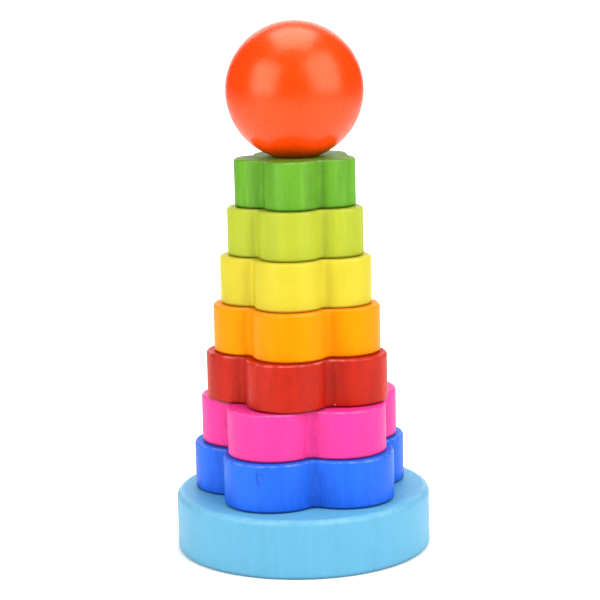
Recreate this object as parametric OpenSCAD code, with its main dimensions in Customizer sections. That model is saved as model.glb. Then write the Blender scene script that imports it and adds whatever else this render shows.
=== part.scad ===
// Rainbow stacking tower: seven five-lobed rings and a ball, threaded on a dowel in a round base.
// Millimetres. +Z is up, the origin is the middle of the underside, and the front looks towards -Y.

/* [Base] */
// Diameter of the round base
base_d = 96; // [76:1:120]
// Thickness of the base
base_h = 22; // [16:1:32]
// Rounding of the base's upper edge
base_top_edge = 2.5; // [0.5:0.25:4]
// Rounding of the base's lower edge
base_foot_edge = 1.5; // [0.5:0.25:4]

/* [Rings] */
// Diameter of the circle round the five lobes of the lowest ring
ring_d = 82.5; // [66:0.5:100]
// How much narrower each ring is than the one below it
ring_step = 6; // [2:0.5:7.5]
// Thickness of each ring
ring_h = 18; // [12:0.5:24]
// Play of each ring on the dowel, across the hole
ring_play = 4; // [1:0.5:6]
// Rounding of the rings' outer edges
ring_edge = 1; // [0.4:0.1:2]
// Chamfer at both mouths of each hole
hole_edge = 0.5; // [0.2:0.1:1]
// How far out the lobes are centred, as a share of the ring's radius
lobe_reach = 0.56; // [0.52:0.01:0.6]
// Radius of the valley between two lobes, as a share of the ring's radius
valley_share = 0.09; // [0.07:0.01:0.14]
// How each ring happens to be turned on the dowel, lowest first, in degrees from the front
ring_turn = [43.5, 42.5, -14, -11, -12, -11, -8.5]; // [-180:0.5:180]

/* [Ball] */
// Diameter of the ball
ball_d = 51.2; // [42:0.1:64]
// Play of the ball on the dowel, across its bore
ball_play = 2; // [0.5:0.5:3]
// Chamfer at the mouth of the ball's bore
ball_mouth_edge = 0.3; // [0.1:0.1:0.5]
// Gap between the ball and the rim of the hole that it rests in
seat_gap = 0.15; // [0.1:0.05:0.4]

/* [Dowel] */
// Diameter of the dowel
dowel_d = 12; // [9:0.5:15]
// Length of dowel that stands above the top ring
dowel_reach = 28; // [20:1:34]
// Rounding of the dowel's tip
tip_edge = 2.5; // [0.5:0.25:4]
// Rounding of the dowel's foot
foot_edge = 0.5; // [0.2:0.1:2]
// Gap between the dowel's tip and the end of the ball's bore
tip_gap = 1; // [0.5:0.5:4]
// Gap round the dowel where it is glued into the base
glue_gap = 0.1; // [0.05:0.05:0.2]
// Wood left between the dowel's foot and the underside of the base
socket_floor = 8; // [6:0.5:10]

/* [Screw] */
// Outer diameter of the screw's thread
screw_d = 4; // [3:0.5:5]
// Diameter of the screw's countersunk head
screw_head_d = 8; // [7:0.5:10]
// Width of the straight rim below the head's cone
screw_rim = 0.5; // [0.3:0.1:1]
// How deep the screw's head is sunk into the underside
screw_recess = 1; // [0.5:0.5:2]
// Length of screw inside the dowel
screw_bite = 22; // [12:1:30]
// Length of the screw's point
screw_point = 4; // [2:0.5:6]
// Width across the cross recess that drives the screw
driver_w = 4.4; // [3:0.1:5]
// Width of each slot of the cross
driver_slot = 1; // [0.6:0.1:1.4]
// Depth of the cross recess
driver_depth = 1.6; // [1:0.1:2]
// Gap round the screw in the base and in the dowel
screw_gap = 0.2; // [0.1:0.05:0.4]

/* [Hidden] */
ROUND = 96;
LOBES = 5;
RINGS = 7;
EDGE_STEPS = 3;
ARC_LAP = 0.02;
THROUGH = 1;
half_lobe = 180 / LOBES;
hole_d = dowel_d + ring_play;
ball_bore_d = dowel_d + ball_play;
stack_top = base_h + RINGS * ring_h;
dowel_top = stack_top + dowel_reach;
head_h = screw_rim + (screw_head_d - screw_d) / 2;
ball_z = stack_top + sqrt(pow(ball_d / 2 + seat_gap, 2) - pow(hole_d / 2 + hole_edge, 2));
ball_mouth_z = ball_z - sqrt(pow(ball_d / 2, 2) - pow(ball_bore_d / 2 + ball_mouth_edge, 2));

// Half a section of a solid round piece, with its lower and its upper edge rounded
module round_section(r, h, low, high) {
    translate([0, low]) square([r, h - low - high]);
    square([r - low, h / 2]);
    translate([0, h / 2]) square([r - high, h / 2]);
    translate([r - low, low]) circle(low, $fn = ROUND);
    translate([r - high, h - high]) circle(high, $fn = ROUND);
}

// What the chamfer at the lower mouth of a bore takes away, for a mouth at z = 0
module mouth(d, e) translate([0, 0, -THROUGH])
    cylinder(r1 = d / 2 + e + THROUGH, r2 = d / 2, h = e + THROUGH, $fn = ROUND);

// A bore right through a board that lies from z = 0 to z = h, with both mouths chamfered
module through_bore(d, h, e) {
    translate([0, 0, -THROUGH]) cylinder(d = d, h = h + 2 * THROUGH, $fn = ROUND);
    mouth(d, e);
    translate([0, 0, h]) mirror([0, 0, 1]) mouth(d, e);
}

// Five round lobes joined by round hollows, drawn in by an inset. Lobe and hollow lap by a hair,
// so that their arcs cross at a small angle where they would otherwise only touch.
module flower_outline(d, inset) {
    reach = lobe_reach * d / 2;
    lobe_r = d / 2 - reach;
    valley_r = valley_share * d / 2;
    valley_at = reach * cos(half_lobe)
        + sqrt(pow(lobe_r + valley_r - ARC_LAP, 2) - pow(reach * sin(half_lobe), 2));
    difference() {
        polygon([for (i = [0:2 * LOBES - 1])
            (i % 2 == 0 ? reach : valley_at) * [cos(i * half_lobe), sin(i * half_lobe)]]);
        for (i = [1:2:2 * LOBES - 1]) rotate(i * half_lobe)
            translate([valley_at, 0]) circle(valley_r + inset, $fn = ROUND);
    }
    for (i = [0:2:2 * LOBES - 2]) rotate(i * half_lobe)
        translate([reach, 0]) circle(lobe_r - inset, $fn = ROUND);
}

// The outline as a board with round-over edges, laid up from slabs whose corners follow the round
module flower(d, h, e) {
    for (i = [0:EDGE_STEPS]) {
        rise = e * (1 - sin(90 * i / EDGE_STEPS));
        translate([0, 0, rise]) linear_extrude(h - 2 * rise)
            flower_outline(d, e * (1 - cos(90 * i / EDGE_STEPS)));
    }
}

// Ring number i, counted from the lowest, where it lies on the stack
module ring(i) translate([0, 0, base_h + i * ring_h]) rotate(ring_turn[i] - 90) difference() {
    flower(ring_d - i * ring_step, ring_h, ring_edge);
    through_bore(hole_d, ring_h, hole_edge);
}

// The screw's outline as a solid, grown by a gap all round
module screw_body(gap) {
    translate([0, 0, screw_recess]) {
        cylinder(d = screw_head_d + 2 * gap, h = screw_rim, $fn = ROUND);
        translate([0, 0, screw_rim]) cylinder(d1 = screw_head_d + 2 * gap, d2 = screw_d + 2 * gap,
            h = head_h - screw_rim, $fn = ROUND);
    }
    translate([0, 0, screw_recess + head_h - gap])
        cylinder(d = screw_d + 2 * gap, h = socket_floor + screw_bite - screw_point - screw_recess - head_h + gap,
            $fn = ROUND);
    translate([0, 0, socket_floor + screw_bite - screw_point])
        cylinder(d1 = screw_d + 2 * gap, d2 = 2 * gap, h = screw_point + gap, $fn = ROUND);
}

module base() color("lightskyblue") difference() {
    rotate_extrude($fn = ROUND) round_section(base_d / 2, base_h, base_foot_edge, base_top_edge);
    translate([0, 0, socket_floor]) cylinder(d = dowel_d + 2 * glue_gap, h = base_h, $fn = ROUND);
    screw_body(screw_gap);
    translate([0, 0, -THROUGH])
        cylinder(d = screw_head_d + 2 * screw_gap, h = screw_recess + THROUGH + screw_rim, $fn = ROUND);
}

module peg() color("burlywood") difference() {
    translate([0, 0, socket_floor])
        rotate_extrude($fn = ROUND) round_section(dowel_d / 2, dowel_top - socket_floor, foot_edge, tip_edge);
    screw_body(screw_gap);
}

module peg_screw() color("silver") difference() {
    screw_body(0);
    for (turn = [0, 90]) rotate(turn) translate([-driver_w / 2, -driver_slot / 2, screw_recess - THROUGH])
        cube([driver_w, driver_slot, driver_depth + THROUGH]);
}

module ring_blue() color("royalblue") ring(0);
module ring_pink() color("hotpink") ring(1);
module ring_red() color("firebrick") ring(2);
module ring_orange() color("orange") ring(3);
module ring_yellow() color("gold") ring(4);
module ring_lime() color("yellowgreen") ring(5);
module ring_green() color("limegreen") ring(6);

module ball() color("orangered") difference() {
    translate([0, 0, ball_z]) sphere(d = ball_d, $fn = ROUND);
    translate([0, 0, stack_top - ball_d / 2])
        cylinder(d = ball_bore_d, h = ball_d / 2 + dowel_reach + tip_gap, $fn = ROUND);
    translate([0, 0, ball_mouth_z]) mouth(ball_bore_d, ball_mouth_edge);
}

base();
peg();
peg_screw();
ring_blue();
ring_pink();
ring_red();
ring_orange();
ring_yellow();
ring_lime();
ring_green();
ball();
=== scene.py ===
"""Rainbow stacking tower: seven flower-shaped rings and a ball, threaded on a dowel in a round base.

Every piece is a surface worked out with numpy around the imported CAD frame, in metres. Sizes that the
CAD parts hold are gauged on those parts, and the rest are named fields in millimetres. The finishes are
satin paint over fine-grained wood, bare waxed beech and zinc-plated steel.
"""

import logging
import math
from dataclasses import dataclass, field, fields
from enum import Enum

import bpy
import numpy as np
from mathutils import Matrix, Vector


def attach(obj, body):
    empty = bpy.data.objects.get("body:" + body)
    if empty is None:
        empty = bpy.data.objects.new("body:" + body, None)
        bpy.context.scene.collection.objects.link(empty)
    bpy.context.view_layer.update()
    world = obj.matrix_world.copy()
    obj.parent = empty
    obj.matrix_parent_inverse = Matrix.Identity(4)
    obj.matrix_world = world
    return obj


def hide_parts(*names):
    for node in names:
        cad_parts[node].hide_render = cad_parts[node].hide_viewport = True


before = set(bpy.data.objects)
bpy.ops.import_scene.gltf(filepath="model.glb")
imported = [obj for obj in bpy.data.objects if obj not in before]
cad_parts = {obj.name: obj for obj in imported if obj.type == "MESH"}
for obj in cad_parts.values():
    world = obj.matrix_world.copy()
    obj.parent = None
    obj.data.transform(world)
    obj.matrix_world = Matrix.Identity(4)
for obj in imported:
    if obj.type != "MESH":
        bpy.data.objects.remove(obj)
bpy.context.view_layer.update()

MM = 0.001
PER_METRE = 1000.0
LOBES = 5
log = logging.getLogger("stacking_tower")

Colour = tuple[float, float, float]
Place = tuple[float, float, float]
ORIGIN: Place = (0.0, 0.0, 0.0)
WHITE = (1.0, 1.0, 1.0, 1.0)
MATT_WHITE = (0.93, 0.93, 0.93, 1.0)
# Colour that rounded edges are lightened towards: paint worn thin, and a painted glint.
THIN_PAINT_AND_GLINT: Colour = (0.95, 0.9, 0.82)
BARE_WOOD: tuple[Colour, Colour] = ((0.62, 0.40, 0.21), (0.74, 0.53, 0.31))
SEED_SHIFT: Place = (37.0, 71.0, 53.0)


class Slot(Enum):
    """The record's material slots."""

    SKY_BLUE = "sky_blue_paint"
    BLUE = "blue_paint"
    PINK = "pink_paint"
    RED = "red_paint"
    ORANGE = "orange_paint"
    YELLOW = "yellow_paint"
    LIME = "lime_paint"
    GREEN = "green_paint"
    BALL = "ball_paint"
    BEECH = "bare_beech"
    STEEL = "zinc_steel"


class Zone(Enum):
    """What part of a piece a point lies on, kept as point attributes that the finishes read."""

    # Rounded edges, which the paint finish lightens as thin paint with a painted glint.
    EDGE = "worn_and_glint_edge"
    FOOT = "foot_edge"
    CAP = "end_grain"
    BORE = "bored_wall"
    HOLLOW = "hollow"


# --------------------------------------------------------------------------------------------------
# Surfaces
# --------------------------------------------------------------------------------------------------


@dataclass
class Section:
    """Stations round a section, each with its place and the zones that it lies in.

    The across and up values are in metres. A station's meaning of across is the piece's own: a radius
    on a turned piece, or an inset from the outline on a flower ring.
    """

    across: np.ndarray
    up: np.ndarray
    edge: np.ndarray
    cap: np.ndarray
    bore: np.ndarray
    foot: np.ndarray

    @staticmethod
    def run(across: np.ndarray | list[float], up: np.ndarray | list[float], edge: float | np.ndarray = 0.0,
            cap: float = 0.0, bore: float = 0.0, foot: float | np.ndarray = 0.0) -> "Section":
        """Makes one stretch of a section.

        Args:
            across: Across value of each station.
            up: Height of each station.
            edge: How strongly its edge is lightened, as paint worn thin with a painted glint, from 0 to 1,
                for all stations or for each.
            cap: 1 on a face that shows end grain.
            bore: 1 inside a bored hole.
            foot: 1 round the lowest edge of the side, which the paint finish darkens there as painted shade.

        Returns:
            The stretch.
        """
        same = np.ones(len(across))
        places = np.asarray(across, float), np.asarray(up, float)
        return Section(*places, edge * same, cap * same, bore * same, foot * same)

    @staticmethod
    def joined(stretches: list["Section"]) -> "Section":
        """Joins stretches end to end, in order."""
        names = [f.name for f in fields(Section)]
        return Section(*(np.concatenate([getattr(part, name) for part in stretches]) for name in names))

    def zones(self) -> dict[Zone, np.ndarray]:
        """The zones of the stations."""
        return {Zone.EDGE: self.edge, Zone.CAP: self.cap, Zone.BORE: self.bore, Zone.FOOT: self.foot}


def eased(start: float, stop: float, count: int) -> np.ndarray:
    """Steps from start to stop that crowd together at both ends, so that flat faces end in a tight loop.

    Formula: start plus the whole way times (1 - cos(pi s)) / 2, with s going evenly from 0 to 1.
    """
    s = np.linspace(0.0, 1.0, count)
    return start + (stop - start) * (1.0 - np.cos(np.pi * s)) / 2.0


def arc(centre: tuple[float, float], radius: float, start: float, stop: float, count: int) -> np.ndarray:
    """Points on an arc: centre plus radius times (cos a, sin a), with a going from start to stop in degrees.

    Args:
        centre: Middle of the arc.
        radius: Its radius.
        start: First angle in degrees.
        stop: Last angle in degrees.
        count: Number of points, both ends included.

    Returns:
        Array of count rows and two columns.
    """
    a = np.radians(np.linspace(start, stop, count))
    return np.stack([centre[0] + radius * np.cos(a), centre[1] + radius * np.sin(a)], axis=1)


def line(start: tuple[float, float], stop: tuple[float, float], count: int) -> np.ndarray:
    """Even steps on a straight line from start to stop, less the start: count rows and two columns."""
    return np.linspace(start, stop, count + 1)[1:]


def hump(count: int) -> np.ndarray:
    """Half a sine wave: 0 at both ends of a rounded edge and 1 half-way round it."""
    return np.sin(np.pi * np.linspace(0.0, 1.0, count))


def ripple(along: np.ndarray, up: np.ndarray, seed: int, waves: int = 7) -> np.ndarray:
    """A smooth unevenness between 0 and 1, periodic along the outline.

    Formula: the sum of a few sine waves, each with a whole number of periods in a turn, a slant in the
    height and a phase drawn from the seed, scaled to run from 0 to 1.

    Args:
        along: Turn round the piece as a share from 0 to 1.
        up: Height as a share from 0 to 1.
        seed: Seed of the draw.
        waves: Number of waves.

    Returns:
        Array of the same shape as along.
    """
    fewest, most, slant = 3, 23, 2.5
    rng = np.random.default_rng(seed)
    periods = rng.integers(fewest, most, waves)
    slants = rng.uniform(-slant, slant, waves)
    phases = rng.uniform(0.0, 2 * np.pi, waves)
    weights = 1.0 / (1.0 + 0.15 * periods)
    angle = 2 * np.pi * (along[..., None] * periods + up[..., None] * slants) + phases
    return 0.5 + 0.5 * (np.sin(angle) * weights).sum(-1) / weights.sum()


def spun(flat: np.ndarray, angles: np.ndarray) -> np.ndarray:
    """Copies flat points once for each angle, turned by it about the origin.

    Formula: the point (x, y) goes to (x cos a - y sin a, x sin a + y cos a).

    Args:
        flat: Points, two columns.
        angles: Angles in radians.

    Returns:
        The copies one after another, two columns.
    """
    cos, sin = np.cos(angles), np.sin(angles)
    matrices = np.stack([np.stack([cos, -sin], -1), np.stack([sin, cos], -1)], 1)
    return np.einsum("kij,nj->kni", matrices, flat).reshape(-1, 2)


def quads(rows: int, columns: int, wrap_rows: bool) -> np.ndarray:
    """Corner numbers of the faces of a grid of points whose columns close on themselves.

    Args:
        rows: Points along the section.
        columns: Points round the piece.
        wrap_rows: Whether the last row joins the first, as on a ring.

    Returns:
        Array of faces, four corner numbers each, turned to point outwards for a section that runs
        clockwise seen with its across value to the right.
    """
    last = rows if wrap_rows else rows - 1
    r = np.arange(last)[:, None]
    c = np.arange(columns)[None, :]
    here, below = r * columns, ((r + 1) % rows) * columns
    ahead = (c + 1) % columns
    return np.stack(np.broadcast_arrays(here + c, below + c, below + ahead, here + ahead), -1).reshape(-1, 4)


def pole_fans(count: int, columns: int) -> np.ndarray:
    """Triangles that close a grid at both ends, each end with a pole that follows the grid's points.

    Args:
        count: Points in the grid. The first pole's number is count, and the last pole's is one more.
        columns: Points round the piece.

    Returns:
        Array of faces, three corner numbers each, turned as the grid's own faces are.
    """
    c = np.arange(columns)
    ahead = (c + 1) % columns
    last_row = count - columns
    first = np.stack([np.full(columns, count), c, ahead], -1)
    last = np.stack([np.full(columns, count + 1), last_row + ahead, last_row + c], -1)
    return np.concatenate([first, last])


def mesh_object(name: str, points: np.ndarray, faces: list[np.ndarray],
                zones: dict[Zone, np.ndarray]) -> bpy.types.Object:
    """Puts worked-out points and faces into a smooth-shaded mesh object at the origin.

    Args:
        name: Name of the piece.
        points: Array of points, three columns, in metres.
        faces: Arrays of faces, one array for each number of corners.
        zones: One value a point for each zone.

    Returns:
        The new object, linked to the scene.
    """
    mesh = bpy.data.meshes.new(name)
    corners = np.concatenate([f.ravel() for f in faces])
    totals = np.concatenate([np.full(len(f), f.shape[1]) for f in faces])
    starts = np.concatenate([[0], np.cumsum(totals)[:-1]])
    mesh.vertices.add(len(points))
    mesh.vertices.foreach_set("co", points.astype(np.float32).ravel())
    mesh.loops.add(len(corners))
    mesh.loops.foreach_set("vertex_index", corners.astype(np.int32))
    mesh.polygons.add(len(totals))
    mesh.polygons.foreach_set("loop_start", starts.astype(np.int32))
    mesh.polygons.foreach_set("use_smooth", np.ones(len(totals), bool))
    mesh.update(calc_edges=True)
    for zone, values in zones.items():
        attribute = mesh.attributes.new(zone.value, "FLOAT", "POINT")
        attribute.data.foreach_set("value", values.astype(np.float32))
    mesh.validate()
    piece = bpy.data.objects.new(name, mesh)
    bpy.context.scene.collection.objects.link(piece)
    return piece


def turned(name: str, section: Section, columns: int, closed: bool,
           dip: np.ndarray | None = None) -> bpy.types.Object:
    """Turns a section about the Z axis.

    Formula: the station (radius, height) goes to (radius cos a, radius sin a, height) for a full turn of
    a. An open section starts and ends on the axis, where its end points become single poles.

    Args:
        name: Name of the piece.
        section: Stations, their across values being radii. It runs from the top pole down the outside.
        columns: Points round the turn.
        closed: Whether the section is a loop, as on a piece with a through hole.
        dip: Taken off the radius, one row a station and one column a point round the turn.

    Returns:
        The new object.
    """
    angle = 2 * np.pi * np.arange(columns) / columns
    radius = np.repeat(section.across[:, None], columns, axis=1)
    if dip is not None:
        radius = np.maximum(radius - dip, 0.0)
    grid = np.stack([radius * np.cos(angle), radius * np.sin(angle),
                     np.broadcast_to(section.up[:, None], radius.shape)], -1)
    zones = section.zones()
    if closed:
        values = {zone: np.repeat(v, columns) for zone, v in zones.items()}
        return mesh_object(name, grid.reshape(-1, 3), [quads(len(grid), columns, True)], values)
    inner = grid[1:-1].reshape(-1, 3)
    poles = np.array([[0.0, 0.0, section.up[0]], [0.0, 0.0, section.up[-1]]])
    faces = [quads(len(grid) - 2, columns, False), pole_fans(len(inner), columns)]
    values = {zone: np.concatenate([np.repeat(v[1:-1], columns), v[[0, -1]]]) for zone, v in zones.items()}
    return mesh_object(name, np.concatenate([inner, poles]), faces, values)


def node_points(node: str) -> np.ndarray:
    """The points of a CAD node, three columns, in metres.

    Args:
        node: Name of the node.

    Returns:
        Array of its points.
    """
    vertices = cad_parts[node].data.vertices
    co = np.empty(len(vertices) * 3, np.float32)
    vertices.foreach_get("co", co)
    return co.reshape(-1, 3).astype(float)


@dataclass(frozen=True)
class Gauge:
    """What is measured on a CAD node, in metres."""

    low: float
    high: float
    outer: float
    inner: float

    @staticmethod
    def of(node: str) -> "Gauge":
        """Measures a node's lowest and highest point, and its farthest and nearest point to the Z axis.

        Args:
            node: Name of the node.

        Returns:
            The measures.
        """
        x, y, z = node_points(node).T
        radius = np.hypot(x, y)
        return Gauge(float(z.min()), float(z.max()), float(radius.max()), float(radius.min()))


# --------------------------------------------------------------------------------------------------
# Finishes
# --------------------------------------------------------------------------------------------------


class Recipe:
    """A material under construction: short calls that add nodes and wire them."""

    def __init__(self, name: str) -> None:
        """Starts an empty material with a Principled shader and an output.

        Args:
            name: Name of the material.
        """
        self.material = bpy.data.materials.new(name)
        self.material.use_nodes = True
        self.tree = self.material.node_tree
        self.tree.nodes.clear()
        self.shader = self.tree.nodes.new("ShaderNodeBsdfPrincipled")
        output = self.tree.nodes.new("ShaderNodeOutputMaterial")
        self.tree.links.new(self.shader.outputs["BSDF"], output.inputs["Surface"])

    def node(self, kind: str, inputs: dict[str | int, object] | None = None,
             **settings: object) -> bpy.types.Node:
        """Adds a node.

        Args:
            kind: Node type, without its ShaderNode prefix.
            inputs: Values or output sockets for its inputs, by name or number.
            **settings: Properties set on the node.

        Returns:
            The node.
        """
        made = self.tree.nodes.new("ShaderNode" + kind)
        for key, value in settings.items():
            setattr(made, key, value)
        for key, value in (inputs or {}).items():
            self.feed(made.inputs[key], value)
        return made

    def feed(self, socket: bpy.types.NodeSocket, value: object) -> None:
        """Links an output socket to an input, or sets the input's value.

        Args:
            socket: The input.
            value: An output socket, or a value.
        """
        if isinstance(value, bpy.types.NodeSocket):
            self.tree.links.new(value, socket)
        else:
            socket.default_value = value

    def math(self, operation: str, a: object, b: object) -> bpy.types.NodeSocket:
        """Adds a Math node and gives its result."""
        return self.node("Math", {0: a, 1: b}, operation=operation).outputs[0]

    def ramp(self, value: object, low: float, high: float, to_low: float = 0.0,
             to_high: float = 1.0) -> bpy.types.NodeSocket:
        """Maps a range onto another, smoothly and clamped."""
        ends = {"Value": value, "From Min": low, "From Max": high, "To Min": to_low, "To Max": to_high}
        return self.node("MapRange", ends, interpolation_type="SMOOTHSTEP").outputs["Result"]

    def blend(self, share: object, a: object, b: object) -> bpy.types.NodeSocket:
        """Mixes colour a towards colour b by a share.

        Args:
            share: 0 for all a, 1 for all b.
            a: Colour or output socket.
            b: Colour or output socket.

        Returns:
            The mixed colour.
        """
        made = self.node("Mix", data_type="RGBA", blend_type="MIX", clamp_factor=True)
        self.feed(made.inputs[0], share)
        for socket, value in ((made.inputs[6], a), (made.inputs[7], b)):
            self.feed(socket, (*value, 1.0) if isinstance(value, tuple) else value)
        return made.outputs[2]

    def place(self, across: float = 1.0, rise: float = 1.0, offset: Place = ORIGIN) -> bpy.types.NodeSocket:
        """Object coordinates in millimetres, scaled and then moved.

        Args:
            across: Scale in X and Y.
            rise: Scale in Z. A low one draws a pattern out in height.
            offset: Added to the scaled coordinates.

        Returns:
            The coordinates.
        """
        scale = (PER_METRE * across, PER_METRE * across, PER_METRE * rise)
        inputs = {"Vector": self.node("TexCoord").outputs["Object"], "Location": offset, "Scale": scale}
        return self.node("Mapping", inputs).outputs["Vector"]

    def noise(self, vector: bpy.types.NodeSocket, scale: float, detail: float = 3.0, roughness: float = 0.5,
              distortion: float = 0.0) -> bpy.types.NodeSocket:
        """Adds a noise texture and gives its grey value."""
        inputs = {"Vector": vector, "Scale": scale, "Detail": detail, "Roughness": roughness}
        return self.node("TexNoise", {**inputs, "Distortion": distortion}).outputs["Fac"]

    def zone(self, zone: Zone) -> bpy.types.NodeSocket:
        """The piece's own attribute for a zone."""
        return self.node("Attribute", attribute_name=zone.value).outputs["Fac"]

    def bump(self, height: object, distance: float, strength: float = 1.0,
             normal: bpy.types.NodeSocket | None = None) -> bpy.types.NodeSocket:
        """Adds a bump over another normal.

        Args:
            height: Height map, from 0 to about 1.
            distance: How many metres high its 1 stands. Below 0 it is cut in.
            strength: Share of the bump that is used.
            normal: The normal that it lies on, if not the surface's own.

        Returns:
            The new normal.
        """
        made = self.node("Bump", {"Height": height, "Distance": distance, "Strength": strength})
        if normal is not None:
            self.feed(made.inputs["Normal"], normal)
        return made.outputs["Normal"]


@dataclass(frozen=True)
class PaintFinish:
    """Satin paint over fine-grained wood that stands upright, so that its grain runs up the sides.

    Grain is how far the wood shows through the paint, nicks is how many tiny bare chips there are, skin
    is how uneven the paint's own surface is, the shade share is how dark the painted shade in the hollows
    and along the lowest edge is, gloss is the shader's specular level, sheen_tint the colour of its
    reflections, seed what its patterns are shifted by, and scuff the place of one dark mark, in millimetres.
    """

    slot: Slot
    colour: Colour
    grain: float = 0.3
    nicks: float = 0.2
    skin: float = 0.3
    painted_shade: float = 0.3
    gloss: float = 0.25
    roughness: float = 0.4
    sheen_tint: Colour = (1.0, 1.0, 1.0)
    seed: int = 0
    scuff: Place | None = None

    def times(self, share: float) -> Colour:
        """The paint's colour, darkened to a share of itself."""
        return (self.colour[0] * share, self.colour[1] * share, self.colour[2] * share)

    def towards(self, other: Colour, share: float) -> Colour:
        """The paint's colour, moved by a share towards another."""
        mixed = [c + (o - c) * share for c, o in zip(self.colour, other)]
        return (mixed[0], mixed[1], mixed[2])

    def place(self, r: Recipe, rise: float = 1.0) -> bpy.types.NodeSocket:
        """Object coordinates in millimetres, with heights reduced to a share, shifted by the seed."""
        shift = (self.seed * SEED_SHIFT[0], self.seed * SEED_SHIFT[1], self.seed * SEED_SHIFT[2])
        return r.place(rise=rise, offset=shift)

    def build(self) -> bpy.types.Material:
        """Makes the material.

        The sides have broad bands, narrow bands and fine lines of upright grain, all of them noises drawn
        out in height, and faint blotches. Painted shade darkens them in streaks in the hollows, and darkens
        them most along the lowest edge.
        Faces that cut the grain show pores and growth rings instead, on a copy of the paint painted lighter
        as a lit face. Rounded edges are lighter where the paint has drawn thin and where a glint is painted
        on. A few nicks are bare, and bored walls fade to bare wood.

        Returns:
            The material.
        """
        r = Recipe(self.slot.value)
        even = self.place(r)
        bands = r.noise(self.place(r, 0.08), 0.4, 4.0, 0.6, 0.4)
        lines = r.noise(self.place(r, 0.1), 1.3, 2.0)
        scatter = r.noise(even, 0.3, 3.0, 0.6)
        cloud = r.noise(even, 0.09, 3.0, 0.55)
        pores = r.noise(even, 1.9, 3.0, 0.65)
        cap, hollow = r.zone(Zone.CAP), r.zone(Zone.HOLLOW)

        tone = r.blend(r.ramp(bands, 0.36, 0.66, 0.0, self.grain), self.times(1.06), self.times(0.78))
        tone = r.blend(r.ramp(lines, 0.48, 0.8, 0.0, self.grain), tone, self.times(0.72))
        broad = r.noise(self.place(r, 0.06), 0.17, 2.0)
        tone = r.blend(r.ramp(broad, 0.38, 0.62, 0.0, self.grain * 1.2), tone, self.times(0.76))
        tone = r.blend(r.ramp(scatter, 0.45, 0.62, 0.0, self.skin * 0.18), tone, self.times(1.25))
        # Painted shade: the hollows between the lobes are darkened towards 0.6 of the paint, broken into
        # streaks by the grain lines.
        mottle = r.math("ADD", lines, r.noise(even, 0.8, 3.0, 0.6))
        hollow_shade = r.math("MULTIPLY", hollow, r.ramp(mottle, 0.78, 1.2, 0.4, 1.0))
        tone = r.blend(r.math("MULTIPLY", hollow_shade, self.painted_shade), tone, self.times(0.6))
        tone = r.blend(r.ramp(cloud, 0.4, 0.68, 0.0, 0.35), tone, self.times(1.1))

        # Painted light: flat faces get a copy of the paint lifted to 1.12, lighter as a lit top face, with
        # real pores and growth rings on it.
        end = r.blend(r.ramp(pores, 0.42, 0.7, 0.0, 0.5), self.times(1.12), self.times(0.86))
        tone = r.blend(cap, tone, r.blend(self.growth_rings(r), end, self.times(0.82)))

        # Painted highlight: rounded edges, peaked half-way round, are lightened towards pale cream as a
        # glint, partly also as paint worn thin.
        thinned_and_glint = r.ramp(scatter, 0.42, 0.62, 0.04, 0.1 + 0.22 * self.skin)
        worn_and_glint = r.math("MULTIPLY", r.ramp(r.zone(Zone.EDGE), 0.3, 1.0), thinned_and_glint)
        tone = r.blend(worn_and_glint, tone, self.towards(THIN_PAINT_AND_GLINT, 0.4))
        # Painted shade: the lowest edge is darkened to 0.4 of the paint, as the contact shadow where a piece
        # stands on the one below.
        foot_shade = r.math("MULTIPLY", r.zone(Zone.FOOT), 0.3 + 0.6 * self.painted_shade)
        tone = r.blend(foot_shade, tone, self.times(0.4))
        if self.scuff:
            tone = r.blend(self.scuffed(r, self.scuff), tone, self.times(0.3))

        wood = r.blend(r.ramp(bands, 0.3, 0.7), *BARE_WOOD)
        fade = r.math("MULTIPLY", r.math("SUBTRACT", cloud, 0.5), 0.8)
        bored = r.ramp(r.math("ADD", r.zone(Zone.BORE), fade), 0.5, 0.9)
        bare = r.math("MAXIMUM", bored, r.math("MULTIPLY", self.chips(r, pores), 0.8))
        r.feed(r.shader.inputs["Base Color"], r.blend(bare, tone, wood))

        patchy = r.noise(even, 0.45, 4.0, 0.6)
        rough = r.ramp(patchy, 0.3, 0.7, self.roughness - 0.04, self.roughness + 0.05)
        dry = r.math("MULTIPLY", r.math("MAXIMUM", r.math("MAXIMUM", cap, bare), hollow), 0.12)
        r.feed(r.shader.inputs["Roughness"], r.math("ADD", rough, dry))
        grain = r.bump(r.math("ADD", lines, bands), -0.05 * MM, 0.15 + 0.6 * self.grain)
        peel = r.bump(r.noise(even, 0.8, 1.0), 0.12 * MM, self.skin, grain)
        pitted = r.bump(r.math("MULTIPLY", pores, cap), -0.06 * MM, 0.5, peel)
        r.feed(r.shader.inputs["Normal"], pitted)
        r.shader.inputs["Specular IOR Level"].default_value = self.gloss
        r.shader.inputs["Specular Tint"].default_value = (*self.sheen_tint, 1.0)
        return r.material

    def growth_rings(self, r: Recipe) -> bpy.types.NodeSocket:
        """Wide, wavy growth rings about a far-off pith, whose place follows the seed.

        Args:
            r: The material under construction.

        Returns:
            A share that is highest on the late wood.
        """
        pith = (70.0 + 9.0 * self.seed, 44.0 - 13.0 * self.seed, 0.0)
        inputs = {"Vector": r.place(rise=0.0, offset=pith), "Scale": 0.07, "Distortion": 3.0, "Detail": 3.0}
        wave = r.node("TexWave", {**inputs, "Detail Scale": 0.25}, wave_type="RINGS", rings_direction="Z")
        return r.ramp(wave.outputs["Fac"], 0.5, 0.95, 0.0, 0.08 + 0.4 * self.grain)

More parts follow.
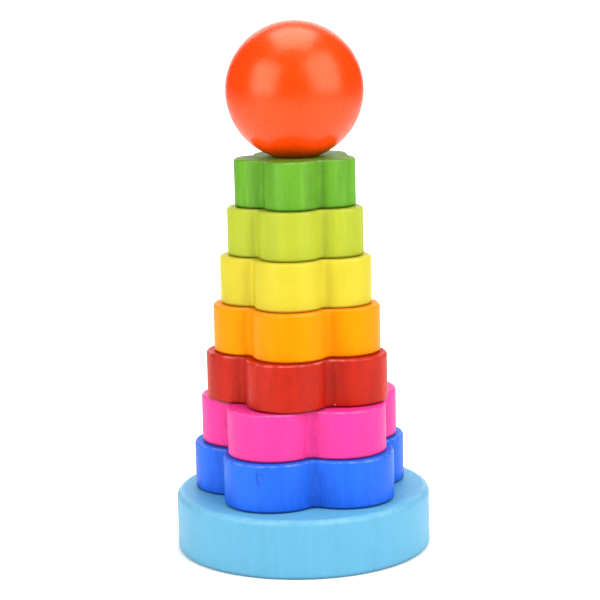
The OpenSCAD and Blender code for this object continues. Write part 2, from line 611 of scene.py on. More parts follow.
    def chips(self, r: Recipe, pores: bpy.types.NodeSocket) -> bpy.types.NodeSocket:
        """Tiny upright nicks: the ragged middles of a few cells of a cell pattern.

        Args:
            r: The material under construction.
            pores: A fine noise that makes their outlines ragged.

        Returns:
            A share that is 1 on a nick.
        """
        cells = r.node("TexVoronoi", {"Vector": self.place(r, 0.3), "Scale": 0.3})
        ragged = r.math("ADD", cells.outputs["Distance"], r.math("MULTIPLY", pores, 0.06))
        spot = r.ramp(ragged, 0.085, 0.07)
        draw = r.node("SeparateColor", {0: cells.outputs["Color"]}).outputs[0]
        return r.math("MULTIPLY", spot, r.ramp(draw, 0.995 - 0.1 * self.nicks, 1.0 - 0.1 * self.nicks))

    def scuffed(self, r: Recipe, middle: Place) -> bpy.types.NodeSocket:
        """One patchy mark that fades out 4.5 mm from its middle.

        Args:
            r: The material under construction.
            middle: The mark's place, in millimetres.

        Returns:
            A share that is highest where the mark is darkest.
        """
        away = r.node("VectorMath", {0: r.place(), 1: middle}, operation="DISTANCE").outputs["Value"]
        patches = r.noise(self.place(r, 0.4), 0.9, 3.0, 0.6)
        mark = r.math("MULTIPLY", r.ramp(away, 4.5, 1.0), r.ramp(patches, 0.47, 0.6))
        return r.math("MULTIPLY", mark, 0.5)


@dataclass(frozen=True)
class BeechFinish:
    """Bare beech, sanded and waxed, with its grain along the Z axis."""

    pale: Colour = (0.70, 0.48, 0.28)
    dark: Colour = (0.52, 0.31, 0.16)
    pith: Place = (0.009, 0.004, 0.0)

    def build(self) -> bpy.types.Material:
        """Makes the material: long soft bands, short dark ray flecks, and rings on the end grain.

        Returns:
            The material.
        """
        r = Recipe(Slot.BEECH.value)
        bands = r.noise(r.place(rise=0.022), 0.22, 4.0, 0.55, 0.4)
        flecks = r.noise(r.place(rise=0.21), 1.9, 2.0)
        about_pith = r.place(rise=0.0, offset=self.pith)
        inputs = {"Vector": about_pith, "Scale": 0.42, "Distortion": 0.8, "Detail": 2.0}
        rings = r.node("TexWave", inputs, wave_type="RINGS", rings_direction="Z").outputs["Fac"]
        tone = r.blend(r.ramp(bands, 0.3, 0.7), self.pale, self.dark)
        tone = r.blend(r.ramp(flecks, 0.6, 0.72, 0.0, 0.5), tone, tuple(c * 0.7 for c in self.dark))
        end = r.blend(r.ramp(rings, 0.4, 0.9, 0.0, 0.6), tuple(c * 0.86 for c in self.pale), self.dark)
        tone = r.blend(r.zone(Zone.CAP), tone, end)
        r.feed(r.shader.inputs["Base Color"], tone)
        r.feed(r.shader.inputs["Roughness"], r.ramp(r.noise(r.place(), 0.9), 0.3, 0.7, 0.4, 0.56))
        r.feed(r.shader.inputs["Normal"], r.bump(flecks, 0.05 * MM, 0.4, r.bump(bands, 0.08 * MM, 0.4)))
        return r.material


@dataclass(frozen=True)
class SteelFinish:
    """Zinc-plated steel with fine turning marks and a slightly blotched plating."""

    plate: Colour = (0.58, 0.59, 0.61)

    def build(self) -> bpy.types.Material:
        """Makes the material: faint blotches, and turning marks as a noise drawn out sideways.

        Returns:
            The material.
        """
        r = Recipe(Slot.STEEL.value)
        blotch = r.noise(r.place(), 0.9, 4.0, 0.6)
        turning = r.noise(r.place(across=0.3, rise=9.0), 1.0, 2.0)
        tone = r.blend(r.ramp(blotch, 0.35, 0.7, 0.0, 0.5), self.plate, tuple(c * 0.72 for c in self.plate))
        r.feed(r.shader.inputs["Base Color"], tone)
        r.feed(r.shader.inputs["Roughness"], r.ramp(blotch, 0.3, 0.7, 0.24, 0.42))
        r.feed(r.shader.inputs["Normal"], r.bump(turning, 0.02 * MM, 0.5))
        r.shader.inputs["Metallic"].default_value = 1.0
        return r.material


Finish = PaintFinish | BeechFinish | SteelFinish


def dress(piece: bpy.types.Object, finish: Finish, slot: Slot, body: str, node: str) -> bpy.types.Object:
    """Gives a piece its finish, and ties it to its CAD body, node and material slot.

    Args:
        piece: The finished piece.
        finish: What it is finished in.
        slot: The record's slot of that finish.
        body: CAD body that it rides on.
        node: CAD node that it stands for.

    Returns:
        The piece.
    """
    piece.data.materials.append(finish.build())
    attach(piece, body)
    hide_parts(node)
    log.info("%s: %d faces, on body %s, in %s", piece.name, len(piece.data.polygons), body, slot.value)
    return piece


# --------------------------------------------------------------------------------------------------
# Pieces
# --------------------------------------------------------------------------------------------------


@dataclass
class FlowerRing:
    """One ring: a board with five round lobes, a hole, and rounded edges. Sizes are in millimetres.

    The face_gap draws both flat faces in by a hair, so that two stacked rings never share one plane.
    """

    colour: str
    finish: PaintFinish
    turn: float
    seed: int
    edge: float = 1.0
    face_gap: float = 0.02
    mouth: float = 0.5
    lobe_reach: float = 0.56
    valley_share: float = 0.09
    unevenness: float = 0.06
    hollow_reach: float = 0.8
    lobe_points: int = 72
    valley_points: int = 16
    wall_rows: int = 17
    edge_rows: int = 9
    lip_rows: int = 6
    bore_rows: int = 13
    face_rows: int = 16
    gauge: Gauge = field(init=False)

    def __post_init__(self) -> None:
        """Gauges the CAD ring that this one stands for."""
        self.gauge = Gauge.of("ring_" + self.colour)

    def outline(self) -> tuple[np.ndarray, np.ndarray]:
        """Points round the outline and the outward direction at each.

        Formula: with R the ring's radius, a lobe is an arc of radius r = R - c about a centre at distance
        c from the axis, from -a to a. The hollow beside it is an arc of radius q about a centre at distance
        v on the line half-way to the next lobe, where v makes the two arcs touch:
        v = c cos 36 + sqrt((r + q)^2 - (c sin 36)^2). Both meet on the line between their centres, whose
        angle at the lobe is a = atan2(v sin 36, v cos 36 - c).

        Returns:
            Points and directions, each with two columns.
        """
        radius = self.gauge.outer
        c = self.lobe_reach * radius
        r = radius - c
        q = self.valley_share * radius
        half = math.pi / LOBES
        v = c * math.cos(half) + math.sqrt((r + q) ** 2 - (c * math.sin(half)) ** 2)
        a = math.atan2(v * math.sin(half), v * math.cos(half) - c)
        lobe = np.linspace(-a, a, self.lobe_points, endpoint=False)
        hollow = np.linspace(a + math.pi, 2 * half - a + math.pi, self.valley_points, endpoint=False)
        lobe_way = np.stack([np.cos(lobe), np.sin(lobe)], -1)
        hollow_way = np.stack([np.cos(hollow), np.sin(hollow)], -1)
        points = np.concatenate([[c, 0.0] + r * lobe_way,
                                 [v * math.cos(half), v * math.sin(half)] + q * hollow_way])
        ways = np.concatenate([lobe_way, -hollow_way])
        turns = math.radians(self.turn) - math.pi / 2 + 2 * half * np.arange(LOBES)
        return spun(points, turns), spun(ways, turns)

    def section(self) -> tuple[Section, np.ndarray]:
        """Stations round the ring's section, from the top of the outer wall down, inwards, up and out again.

        Returns:
            The section, whose across value is the inset from the outline or the radius of the hole, and a
            share for each station: 1 on the outline, 0 on the hole, and in between on the two faces.
        """
        e, m, gap = self.edge * MM, self.mouth * MM, self.face_gap * MM
        low, high, hole = self.gauge.low + gap, self.gauge.high - gap, self.gauge.inner
        wall = eased(high - e, low + e, self.wall_rows)
        foot = arc((e, low + e), e, 180.0, 270.0, self.edge_rows)[1:]
        brow = arc((e, high - e), e, 90.0, 180.0, self.edge_rows)[:-1]
        lower_lip = arc((hole + m, low + m), m, 270.0, 180.0, self.lip_rows)
        upper_lip = arc((hole + m, high - m), m, 180.0, 90.0, self.lip_rows)
        bore_wall = eased(low + m, high - m, self.bore_rows)[1:-1]
        across = eased(0.0, 1.0, self.face_rows)[1:-1]
        flat = np.ones(len(across))
        stretches = [
            (Section.run(np.zeros(len(wall)), wall), 1.0),
            (Section.run(foot[:, 0], foot[:, 1], foot=1.0), 1.0),
            (Section.run(0.0 * flat, low * flat, cap=1.0), 1.0 - across),
            (Section.run(lower_lip[:, 0], lower_lip[:, 1], edge=0.6, cap=1.0), 0.0),
            (Section.run(np.full(len(bore_wall), hole), bore_wall, bore=1.0), 0.0),
            (Section.run(upper_lip[:, 0], upper_lip[:, 1], edge=0.6, cap=1.0), 0.0),
            (Section.run(0.0 * flat, high * flat, cap=1.0), across),
            (Section.run(brow[:, 0], brow[:, 1], edge=hump(self.edge_rows)[:-1]), 1.0),
        ]
        share = np.concatenate([value * np.ones(len(part.up)) for part, value in stretches])
        return Section.joined([part for part, _ in stretches]), share

    def surface(self) -> bpy.types.Object:
        """The ring's whole skin as one grid, the section's stations by the outline's points.

        Formula: a station on the outline is the outline's point, less its inset times the outward
        direction. A station on the hole is its radius times the direction from the axis to the outline's
        point. A station on a face lies between the two by its share. The outer wall and its edges dip
        inwards by up to the unevenness, as sanding leaves them.

        Returns:
            The new object.
        """
        section, share = self.section()
        outline, way = self.outline()
        spoke = outline / np.linalg.norm(outline, axis=1, keepdims=True)
        s = share[:, None, None]
        on_face = (share > 0) & (share < 1)
        inset = np.where(share == 1, section.across, self.edge * MM * on_face)[:, None, None]
        hole = self.gauge.inner + self.mouth * MM
        ring_radius = np.where(share == 0, section.across, hole)[:, None, None]
        along = np.arange(len(outline)) / len(outline)
        height = (section.up - self.gauge.low) / (self.gauge.high - self.gauge.low)
        dip = ripple(np.broadcast_to(along, (len(share), len(along))), height[:, None], self.seed)
        inset = inset + (self.unevenness * MM * share[:, None] * dip)[..., None]
        flat = s * (outline - inset * way) + (1.0 - s) * ring_radius * spoke
        up = np.broadcast_to(section.up[:, None, None], flat.shape[:2] + (1,))
        points = np.concatenate([flat, up], -1).reshape(-1, 3)
        faces = quads(len(share), len(outline), True)
        values = {zone: np.repeat(v, len(outline)) for zone, v in section.zones().items()}
        values[Zone.HOLLOW] = (share[:, None] * self.hollowness(outline)).ravel()
        return mesh_object("flower_ring_" + self.colour, points, [faces], values)

    def hollowness(self, outline: np.ndarray) -> np.ndarray:
        """How deep in a hollow each point of the outline lies, from 0 to 1.

        Formula: 1 less how far out the point is from the nearest that the outline comes to the axis, as
        a share of hollow_reach times the outline's whole depth, squared.

        Args:
            outline: The outline's points, two columns.

        Returns:
            One value for each point.
        """
        away = np.linalg.norm(outline, axis=1)
        share = (away - away.min()) / ((away.max() - away.min()) * self.hollow_reach)
        return np.clip(1.0 - share, 0.0, 1.0) ** 2

    def make(self) -> bpy.types.Object:
        """Builds and dresses the ring."""
        body, node = self.colour + "_ring", "ring_" + self.colour
        return dress(self.surface(), self.finish, self.finish.slot, body, node)


@dataclass
class RoundBase:
    """The turned base, with the socket for the dowel and the countersunk hole for the screw. Millimetres."""

    finish: PaintFinish
    top_edge: float = 2.5
    foot_edge: float = 1.5
    socket_floor: float = 8.0
    glue_gap: float = 0.1
    screw_hole: float = 2.2
    head_hole: float = 4.2
    sink_start: float = 1.5
    sink_depth: float = 2.0
    lip: float = 0.3
    unevenness: float = 0.08
    seed: int = 11
    columns: int = 288
    brow_rows: int = 13
    wall_rows: int = 19
    foot_rows: int = 9
    face_rows: int = 22
    head_rows: int = 4
    bore_rows: int = 5
    socket_rows: int = 9

    def section(self, gauge: Gauge, socket: float) -> Section:
        """The base's section as a closed loop, clockwise from the top face's outer end.

        Args:
            gauge: The CAD base's measures.
            socket: Radius of the dowel's socket, in metres.

        Returns:
            The section, its across values being radii.
        """
        r, high = gauge.outer, gauge.high
        t, f, lip = self.top_edge * MM, self.foot_edge * MM, self.lip * MM
        head, hole = self.head_hole * MM, self.screw_hole * MM
        sink_low, sink_high = self.sink_start * MM, (self.sink_start + self.sink_depth) * MM
        floor, soft = self.socket_floor * MM, lip * 0.3
        brow = arc((r - t, high - t), t, 90.0, 0.0, self.brow_rows)
        wall = eased(high - t, f, self.wall_rows)[1:-1]
        foot = arc((r - f, f), f, 0.0, -90.0, self.foot_rows)
        under = eased(r - f, head + lip, self.face_rows)[1:-1]
        head_wall = np.linspace(lip * 1.4, sink_low, self.head_rows)
        sink = line((head, sink_low), (hole, sink_high), self.bore_rows)
        shank = line((hole, sink_high), (hole, floor), self.bore_rows)
        step = line((hole, floor), (socket, floor), self.bore_rows)
        side = line((socket, floor), (socket, high - lip), self.socket_rows)
        top = eased(socket + lip, r - t, self.face_rows)[1:-1]
        return Section.joined([
            Section.run(brow[:, 0], brow[:, 1], edge=hump(self.brow_rows)),
            Section.run(np.full(len(wall), r), wall),
            Section.run(foot[:, 0], foot[:, 1], foot=np.linspace(0.0, 1.0, self.foot_rows)),
            Section.run(under, np.zeros(len(under)), cap=1.0),
            Section.run([head + lip, head + soft, head], [0.0, soft, lip], edge=0.5, cap=1.0, bore=0.4),
            Section.run(np.full(self.head_rows, head), head_wall, bore=1.0),
            Section.run(sink[:, 0], sink[:, 1], bore=1.0),
            Section.run(shank[:, 0], shank[:, 1], bore=1.0),
            Section.run(step[:, 0], step[:, 1], bore=1.0),
            Section.run(side[:, 0], side[:, 1], bore=1.0),
            Section.run([socket + soft, socket + lip], [high - soft, high], edge=0.5, cap=1.0, bore=0.5),
            Section.run(top, np.full(len(top), high), cap=1.0),
        ])

    def make(self) -> bpy.types.Object:
        """Builds and dresses the base. Its wall dips inwards a little, as turning and sanding leave it.

        Returns:
            The base.
        """
        gauge = Gauge.of("base")
        socket = Gauge.of("peg").outer + self.glue_gap * MM
        section = self.section(gauge, socket)
        along = np.arange(self.columns) / self.columns
        height = section.up / gauge.high
        outside = (section.across > gauge.outer - self.top_edge * MM * 1.01).astype(float)
        waves = ripple(np.broadcast_to(along, (len(height), len(along))), height[:, None], self.seed)
        dip = self.unevenness * MM * outside[:, None] * waves
        piece = turned("round_base", section, self.columns, True, dip)
        return dress(piece, self.finish, self.finish.slot, "stand", "base")


@dataclass
class BoredBall:
    """The ball on top, turned round and bored from below to sit over the dowel's tip. Millimetres."""

    finish: PaintFinish
    mouth: float = 0.3
    tip_gap: float = 1.0
    cone_height: float = 1.2
    columns: int = 192
    skin_rows: int = 110
    lip_rows: int = 2
    wall_rows: int = 16
    cone_rows: int = 6

    def make(self) -> bpy.types.Object:
        """Builds and dresses the ball.

        Formula: the section is the arc from the top pole to the bore's mouth, where the ball's radius R
        and the bore's radius b meet at a height R - sqrt(R^2 - b^2) above the ball's lowest point, then
        the bore's wall up to its blind end, which is a shallow cone as a drill leaves it.

        Returns:
            The ball.
        """
        gauge, dowel = Gauge.of("ball"), Gauge.of("peg")
        radius = gauge.outer
        middle = gauge.high - radius
        bore = self.bore_radius(radius, middle)
        m = self.mouth * MM
        soft = 0.3 * m
        mouth_angle = math.degrees(math.asin((bore + m) / radius))
        skin = arc((0.0, middle), radius, 90.0, mouth_angle - 90.0, self.skin_rows)
        mouth_z = float(skin[-1, 1])
        end = dowel.high + self.tip_gap * MM
        shoulder = end - self.cone_height * MM
        wall = np.linspace(mouth_z + m, shoulder, self.wall_rows)
        cone = line((bore, shoulder), (0.0, end), self.cone_rows)
        outside, lip = skin[:-self.lip_rows], skin[-self.lip_rows:]
        section = Section.joined([
            Section.run(outside[:, 0], outside[:, 1]),
            Section.run(lip[:, 0], lip[:, 1], edge=0.5),
            Section.run([bore + soft], [mouth_z + soft], edge=0.5, bore=0.5),
            Section.run(np.full(len(wall), bore), wall, bore=1.0),
            Section.run(cone[:, 0], cone[:, 1], bore=1.0),
        ])
        piece = turned("bored_ball", section, self.columns, False)
        return dress(piece, self.finish, self.finish.slot, "ball_top", "ball")

    @staticmethod
    def bore_radius(radius: float, middle: float) -> float:
        """The bore's radius, gauged on the CAD ball.

        Formula: the farthest point from the axis among those that lie more than a tenth of the ball's
        radius inside its skin.

        Args:
            radius: The ball's radius.
            middle: Height of its middle.

        Returns:
            The bore's radius.
        """
        x, y, z = node_points("ball").T
        from_axis = np.hypot(x, y)
        inside = np.hypot(from_axis, z - middle) < radius * 0.9
        return float(from_axis[inside].max())


@dataclass
class Dowel:
    """The peg that the rings thread onto. Millimetres."""

    finish: BeechFinish
    tip_edge: float = 2.5
    foot_edge: float = 0.5
    pilot: float = 2.2
    pilot_depth: float = 22.2
    pilot_point: float = 4.0
    columns: int = 96
    crown_rows: int = 7
    tip_rows: int = 12
    side_rows: int = 60
    foot_rows: int = 6
    pilot_rows: int = 8
    point_rows: int = 5

    def make(self) -> bpy.types.Object:
        """Builds and dresses the dowel: a rounded tip, a long side, a foot, and the screw's pilot hole.

        Returns:
            The dowel.
        """
        gauge = Gauge.of("peg")
        r, low, high = gauge.outer, gauge.low, gauge.high
        t, f, pilot = self.tip_edge * MM, self.foot_edge * MM, self.pilot * MM
        pilot_top = low + self.pilot_depth * MM
        shoulder = pilot_top - self.pilot_point * MM
        crown = np.linspace(0.0, r - t, self.crown_rows, endpoint=False)
        tip = arc((r - t, high - t), t, 90.0, 0.0, self.tip_rows)
        side = eased(high - t, low + f, self.side_rows)[1:-1]
        foot = arc((r - f, low + f), f, 0.0, -90.0, self.foot_rows)
        under = line((r - f, low), (pilot, low), self.point_rows)
        hole = line((pilot, low), (pilot, shoulder), self.pilot_rows)
        point = line((pilot, shoulder), (0.0, pilot_top), self.point_rows)
        section = Section.joined([
            Section.run(crown, np.full(len(crown), high), cap=1.0),
            Section.run(tip[:, 0], tip[:, 1], edge=1.0, cap=0.5),
            Section.run(np.full(len(side), r), side),
            Section.run(foot[:, 0], foot[:, 1], edge=1.0),
            Section.run(under[:, 0], under[:, 1], cap=1.0),
            Section.run(hole[:, 0], hole[:, 1], bore=1.0),
            Section.run(point[:, 0], point[:, 1], bore=1.0),
        ])
        piece = turned("beech_dowel", section, self.columns, False)
        return dress(piece, self.finish, Slot.BEECH, "stand", "peg")


@dataclass
class WoodScrew:
    """The countersunk wood screw under the base, point upwards. Millimetres."""

    finish: SteelFinish
    rim: float = 0.5
    thread: float = 4.0
    core: float = 2.7
    pitch: float = 1.8
    point: float = 4.0
    thread_start: float = 9.0
    driver_w: float = 4.4
    driver_slot: float = 1.0
    driver_depth: float = 1.6
    end_slope: float = 0.9
    side_slope: float = 0.12
    run_out: float = 1.5
    crest_share: float = 0.55
    crest_power: float = 0.8
    columns: int = 64
    rows_a_turn: int = 12
    neck_rows: int = 7
    rim_rows: int = 3
    face_rows: int = 58

    def trench(self, along: np.ndarray, beside: np.ndarray) -> np.ndarray:
        """One slot of the cross recess.

        Formula: 1 in the slot, falling off evenly over side_slope at its sides and end_slope at its ends.

        Args:
            along: Distance from the middle along the slot, in metres.
            beside: Distance from the middle across it.

        Returns:
            Share of the recess's depth at each point.
        """
        ends = (self.driver_w / 2 * MM - np.abs(along)) / (self.end_slope * MM)
        sides = (self.driver_slot / 2 * MM - np.abs(beside)) / (self.side_slope * MM)
        return np.clip(ends, 0.0, 1.0) * np.clip(sides, 0.0, 1.0)

    def side(self, gauge: Gauge, angle: np.ndarray) -> np.ndarray:
        """The screw's side, from its point down to the rim of its head.

        Formula: the surface is turned about the Z axis. Along the thread its radius is the core's plus
        a crest that is highest where height over pitch less turn is whole and a half, which makes one
        helix. The head widens by one millimetre a millimetre.

        Args:
            gauge: The CAD screw's measures.
            angle: Angles round the turn.

        Returns:
            Grid of points: rows from the point down, columns round the turn.
        """
        shank, core = self.thread / 2 * MM, self.core / 2 * MM
        rim, start = gauge.low + self.rim * MM, self.thread_start * MM
        neck = rim + (gauge.outer - shank)
        threaded = int((gauge.high - start) / (self.pitch * MM) * self.rows_a_turn)
        up = np.concatenate([np.linspace(gauge.high, start, threaded),
                             np.linspace(start, neck, self.neck_rows + 1)[1:],
                             np.linspace(neck, rim, self.neck_rows + 1)[1:],
                             np.linspace(rim, gauge.low, self.rim_rows + 1)[1:]])
        cone = np.clip((gauge.high - up) / (self.point * MM), 0.0, 1.0)
        plain = np.where(up > start, core * cone, shank)
        plain = np.where(up < neck, shank + (neck - up), plain)
        plain = np.minimum(plain, gauge.outer)
        phase = up[:, None] / (self.pitch * MM) - angle / (2 * np.pi)
        away = np.abs(2.0 * (phase % 1.0) - 1.0) / self.crest_share
        crest = np.clip(1.0 - away, 0.0, 1.0) ** self.crest_power
        fade = np.clip((up - start) / (self.run_out * MM), 0.0, 1.0) * cone
        radius = plain[:, None] + (shank - core) * crest * fade[:, None]
        heights = np.broadcast_to(up[:, None], radius.shape)
        return np.stack([radius * np.cos(angle), radius * np.sin(angle), heights], -1)

    def face(self, gauge: Gauge, angle: np.ndarray) -> np.ndarray:
        """The head's flat face with its cross recess, from the rim inwards.

        Formula: a point's depth is the recess's, times the deeper of two slots at right angles.

        Args:
            gauge: The CAD screw's measures.
            angle: Angles round the turn.

        Returns:
            Grid of points: rows from the rim inwards, columns round the turn.
        """
        radius = gauge.outer * (1.0 - np.linspace(0.0, 1.0, self.face_rows + 2)[1:-1])[:, None]
        x, y = radius * np.cos(angle), radius * np.sin(angle)
        depth = self.driver_depth * MM * np.maximum(self.trench(x, y), self.trench(y, x))
        return np.stack([x, y, gauge.low + depth], -1)

    def make(self) -> bpy.types.Object:
        """Builds and dresses the screw.

        Returns:
            The screw.
        """
        gauge = Gauge.of("peg_screw")
        angle = 2 * np.pi * np.arange(self.columns) / self.columns
        grid = np.concatenate([self.side(gauge, angle)[1:], self.face(gauge, angle)])
        poles = [[0.0, 0.0, gauge.high], [0.0, 0.0, gauge.low + self.driver_depth * MM]]
        points = np.concatenate([grid.reshape(-1, 3), poles])
        faces = [quads(len(grid), self.columns, False), pole_fans(len(points) - 2, self.columns)]
        piece = mesh_object("wood_screw", points, faces, {})
        return dress(piece, self.finish, Slot.STEEL, "stand", "peg_screw")


# --------------------------------------------------------------------------------------------------
# Studio
# --------------------------------------------------------------------------------------------------


@dataclass(frozen=True)
class SoftBox:
    """A rectangular studio light that looks at a point on the tower.

    Azimuth and elevation are in degrees, azimuth from the front towards +X. Distance and size are in
    metres. Glow is how bright the box looks, as a multiple of the white that a full exposure gives.
    """

    name: str
    azimuth: float
    elevation: float
    distance: float
    size: tuple[float, float]
    glow: float
    aim: float = 0.12

    def hang(self) -> None:
        """Places the light. Its power is its glow times pi times its area, as a flat lamp's is."""
        light = bpy.data.lights.new(self.name, "AREA")
        light.shape = "RECTANGLE"
        light.size, light.size_y = self.size
        light.energy = self.glow * math.pi * self.size[0] * self.size[1]
        lamp = bpy.data.objects.new(self.name, light)
        a, e = math.radians(self.azimuth), math.radians(self.elevation)
        way = Vector((math.sin(a) * math.cos(e), -math.cos(a) * math.cos(e), math.sin(e)))
        lamp.location = Vector((0.0, 0.0, self.aim)) + way * self.distance
        lamp.rotation_euler = way.to_track_quat("Z", "Y").to_euler()
        lamp.visible_camera = False
        bpy.context.scene.collection.objects.link(lamp)
        log.info("%s hung", self.name)


@dataclass(frozen=True)
class Studio:
    """White floor, soft boxes, room light and camera."""

    camera_distance: float = 0.7206
    camera_height: float = 0.2245
    tilt_down: float = 10.285
    roll: float = -1.25
    pan: float = 0.03
    lens: float = 117.2
    sensor: float = 36.0
    gamma: float = 0.9
    room_light: float = 0.09
    backdrop_glow: float = 0.9
    backdrop_white: float = 1.1
    floor_share: float = 0.3
    boxes: tuple[SoftBox, ...] = (
        SoftBox("soft_box_left", -53.0, 23.0, 0.75, (0.56, 0.64), 5.1),
        SoftBox("soft_box_right", 55.0, 29.0, 0.75, (0.7, 0.78), 4.3),
        SoftBox("soft_box_top", 180.0, 81.0, 0.8, (0.62, 0.72), 4.9),
    )

    @staticmethod
    def glowing_white(name: str, roughness: float, gloss: float) -> Recipe:
        """Starts a matt white that can glow, and that the renderer doesn't count among its lamps.

        Args:
            name: Name of the material.
            roughness: The shader's roughness.
            gloss: The shader's specular level.

        Returns:
            The material under construction.
        """
        r = Recipe(name)
        r.shader.inputs["Base Color"].default_value = MATT_WHITE
        r.shader.inputs["Roughness"].default_value = roughness
        r.shader.inputs["Specular IOR Level"].default_value = gloss
        r.shader.inputs["Emission Color"].default_value = WHITE
        r.material.cycles.emission_sampling = "NONE"
        return r

    def floor(self) -> None:
        """A big white table top, which glows from just outside the tower's foot, so that it looks white.

        Formula: a flat grid of points, from half_width left to right and front to back. The glow rises
        with the distance from the axis, in two steps. It lights the tower with floor_share of what the
        camera sees.
        """
        half_width, front, back, posts = 2.5, -1.8, 4.5, 5
        x, y = np.meshgrid(np.linspace(-half_width, half_width, posts), np.linspace(front, back, posts))
        points = np.stack([x.ravel(), y.ravel(), np.zeros(x.size)], -1)
        corner = (np.arange(posts - 1)[:, None] * posts + np.arange(posts - 1)).reshape(-1, 1)
        faces = np.concatenate([corner, corner + 1, corner + posts + 1, corner + posts], 1)
        sheet = mesh_object("studio_floor", points, [faces], {})
        r = self.glowing_white("studio_white", 0.7, 0.1)
        metres = r.place(across=MM, rise=MM)
        far = r.node("VectorMath", {0: metres}, operation="LENGTH").outputs["Value"]
        glow = r.math("ADD", r.ramp(far, 0.048, 0.053, 0.0, 0.6), r.ramp(far, 0.45, 1.0, 0.0, 0.4))
        seen = r.ramp(r.node("LightPath").outputs["Is Camera Ray"], 0.0, 1.0, self.floor_share, 1.0)
        r.feed(r.shader.inputs["Emission Strength"], r.math("MULTIPLY", glow, seen))
        sheet.data.materials.append(r.material)

    def backdrop(self) -> None:
        """An upright white panel behind the tower, which its upper faces mirror.

        Formula: one flat face at one distance behind the origin, from the floor up.
        """
        half_width, away, tall = 0.42, 0.9, 0.8
        points = np.array([[-half_width, away, 0.0], [half_width, away, 0.0], [half_width, away, tall],
                           [-half_width, away, tall]])
        panel = mesh_object("studio_backdrop", points, [np.array([[0, 1, 2, 3]])], {})
        r = self.glowing_white("backdrop_white", 0.8, 0.5)
        r.shader.inputs["Emission Strength"].default_value = self.backdrop_glow
        panel.data.materials.append(r.material)

    def room(self) -> None:
        """Soft light from all round, with a plain white backdrop behind whatever the camera sees."""
        world = bpy.data.worlds.new("studio_room")
        bpy.context.scene.world = world
        world.use_nodes = True
        nodes, links = world.node_tree.nodes, world.node_tree.links
        nodes.clear()
        ambient = nodes.new("ShaderNodeBackground")
        ambient.inputs["Color"].default_value = WHITE
        ambient.inputs["Strength"].default_value = self.room_light
        backdrop = nodes.new("ShaderNodeBackground")
        backdrop.inputs["Color"].default_value = WHITE
        backdrop.inputs["Strength"].default_value = self.backdrop_white
        path = nodes.new("ShaderNodeLightPath")
        mix = nodes.new("ShaderNodeMixShader")
        output = nodes.new("ShaderNodeOutputWorld")
        links.new(path.outputs["Is Camera Ray"], mix.inputs[0])
        links.new(ambient.outputs[0], mix.inputs[1])
        links.new(backdrop.outputs[0], mix.inputs[2])
        links.new(mix.outputs[0], output.inputs["Surface"])

    def camera(self) -> None:
        """The camera: in front, a little above the tower's top, tilted down, long lens."""
        data = bpy.data.cameras.new("camera")
        data.lens = self.lens
        data.sensor_width = self.sensor
        cam = bpy.data.objects.new("camera", data)
        tilt, roll, pan = math.radians(self.tilt_down), math.radians(self.roll), math.radians(self.pan)
        right = Vector((math.cos(pan), -math.sin(pan), 0.0))
        level = Vector((math.sin(pan), math.cos(pan), 0.0))
        ahead = level * math.cos(tilt) - Vector((0.0, 0.0, math.sin(tilt)))
        up = right.cross(ahead)
        side = right * math.cos(roll) + up * math.sin(roll)
        top = up * math.cos(roll) - right * math.sin(roll)
        turn = Matrix((side, top, -ahead)).transposed()
        place = Matrix.Translation((0.0, -self.camera_distance, self.camera_height))
        cam.matrix_world = place @ turn.to_4x4()
        bpy.context.scene.collection.objects.link(cam)
        bpy.context.scene.camera = cam

    def build(self) -> None:
        """Sets up the whole studio."""
        self.camera()
        self.floor()
        self.backdrop()
        self.room()
        for box in self.boxes:
            box.hang()
        view = bpy.context.scene.view_settings
        view.view_transform = "Standard"
        view.look = "None"
        view.gamma = self.gamma
        bpy.context.scene.cycles.use_denoising = True


def srgb(red: int, green: int, blue: int) -> Colour:
    """Turns a colour on the usual 0 to 255 scale into linear light.

    Args:
        red: Red share, from 0 to 255.
        green: Green share.
        blue: Blue share.

    Returns:
        The colour's three linear shares.
    """
    c = np.array([red, green, blue]) / 255.0
    linear = np.where(c > 0.04045, ((c + 0.055) / 1.055) ** 2.4, c / 12.92)
    return (float(linear[0]), float(linear[1]), float(linear[2]))


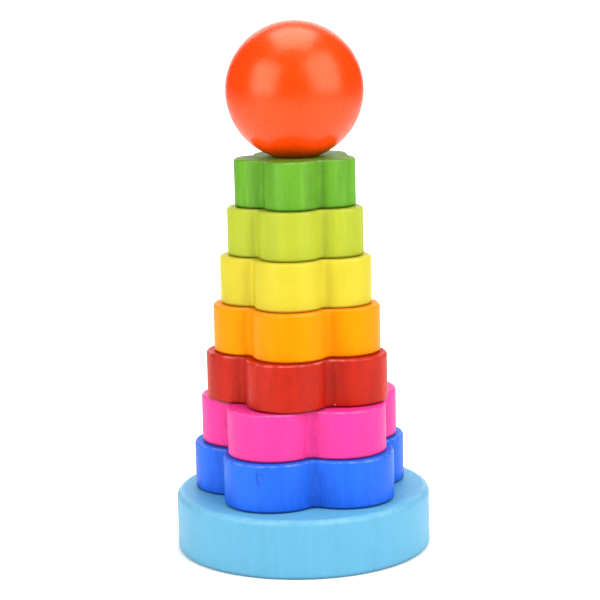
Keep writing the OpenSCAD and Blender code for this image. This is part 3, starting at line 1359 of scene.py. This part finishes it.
def rings() -> list[FlowerRing]:
    """The seven rings, lowest first, each with its paint, its turn in degrees and its seed.

    Returns:
        The rings.
    """
    paints = [
        PaintFinish(Slot.BLUE, srgb(27, 101, 214), grain=0.4, skin=0.8, painted_shade=0.72, seed=1,
                    scuff=(-16.5, -37.6, 35.4)),
        PaintFinish(Slot.PINK, srgb(218, 55, 141), grain=0.22, skin=0.6, painted_shade=0.65, seed=2),
        PaintFinish(Slot.RED, srgb(179, 30, 0), grain=0.65, nicks=0.9, skin=1.0, painted_shade=0.75, seed=3),
        PaintFinish(Slot.ORANGE, srgb(227, 137, 0), grain=0.2, sheen_tint=(1.0, 0.85, 0.2), seed=4),
        PaintFinish(Slot.YELLOW, srgb(190, 177, 44), grain=0.1, painted_shade=0.1, seed=5),
        PaintFinish(Slot.LIME, srgb(163, 172, 44), grain=0.18, painted_shade=0.18, seed=6),
        PaintFinish(Slot.GREEN, srgb(99, 156, 39), grain=0.6, skin=0.5, painted_shade=0.45, seed=7),
    ]
    colours = ["blue", "pink", "red", "orange", "yellow", "lime", "green"]
    turns = [43.5, 42.5, -14.0, -11.0, -12.0, -11.0, -8.5]
    first_seed = 21
    return [FlowerRing(colour, paint, turn, first_seed + number)
            for number, (colour, paint, turn) in enumerate(zip(colours, paints, turns))]


def ball_paint() -> PaintFinish:
    """The ball's smoother, glossier paint."""
    return PaintFinish(Slot.BALL, srgb(234, 63, 0), grain=0.05, nicks=0.0, skin=0.15, painted_shade=0.0, gloss=0.55,
                       roughness=0.3, sheen_tint=(1.0, 0.86, 0.62), seed=8)


def main() -> None:
    """Builds the studio and every piece in order, and reports each."""
    Studio().build()
    RoundBase(PaintFinish(Slot.SKY_BLUE, srgb(93, 158, 186), grain=0.1, seed=9)).make()
    Dowel(BeechFinish()).make()
    WoodScrew(SteelFinish()).make()
    for ring in rings():
        ring.make()
    BoredBall(ball_paint()).make()


if __name__ == "__main__":
    logging.basicConfig(level=logging.INFO, format="%(name)s: %(message)s")
    main()
